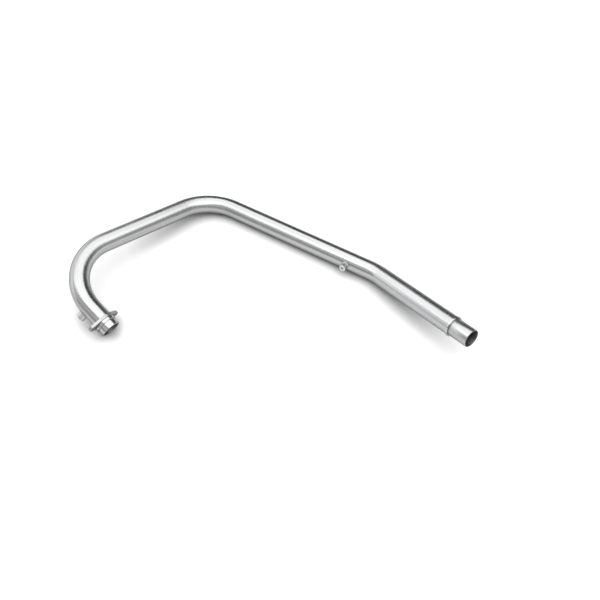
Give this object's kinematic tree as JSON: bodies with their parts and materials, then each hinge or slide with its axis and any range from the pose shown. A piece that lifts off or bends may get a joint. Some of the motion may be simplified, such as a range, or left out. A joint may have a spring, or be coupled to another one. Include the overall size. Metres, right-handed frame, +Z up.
{
  "type": "motorcycle exhaust header",
  "caption": "Bent stainless exhaust header pipe for a motorcycle, with port collar, loose stud flange, sensor bung, mount boss and silencer spigot.",
  "frame": {"origin": "middle of the port mouth", "axes": "+X along the long straight, towards the silencer; +Z up as the pipe lies on a floor"},
  "size_m": [0.8658, 0.5013, 0.1026],
  "materials": {
    "tube": "brushed around the tube",
    "turned": "fine turned",
    "flange": "satin, cut from plate",
    "boss": "turned, left as machined"
  },
  "bodies": {
    "root": {"header_tube": "tube", "port_collar": "turned", "port_flange": "flange", "sensor_bung": "boss", "mount_boss": "boss", "outlet_ring": "turned", "outlet_spigot": "tube"}
  },
  "joints": []
}
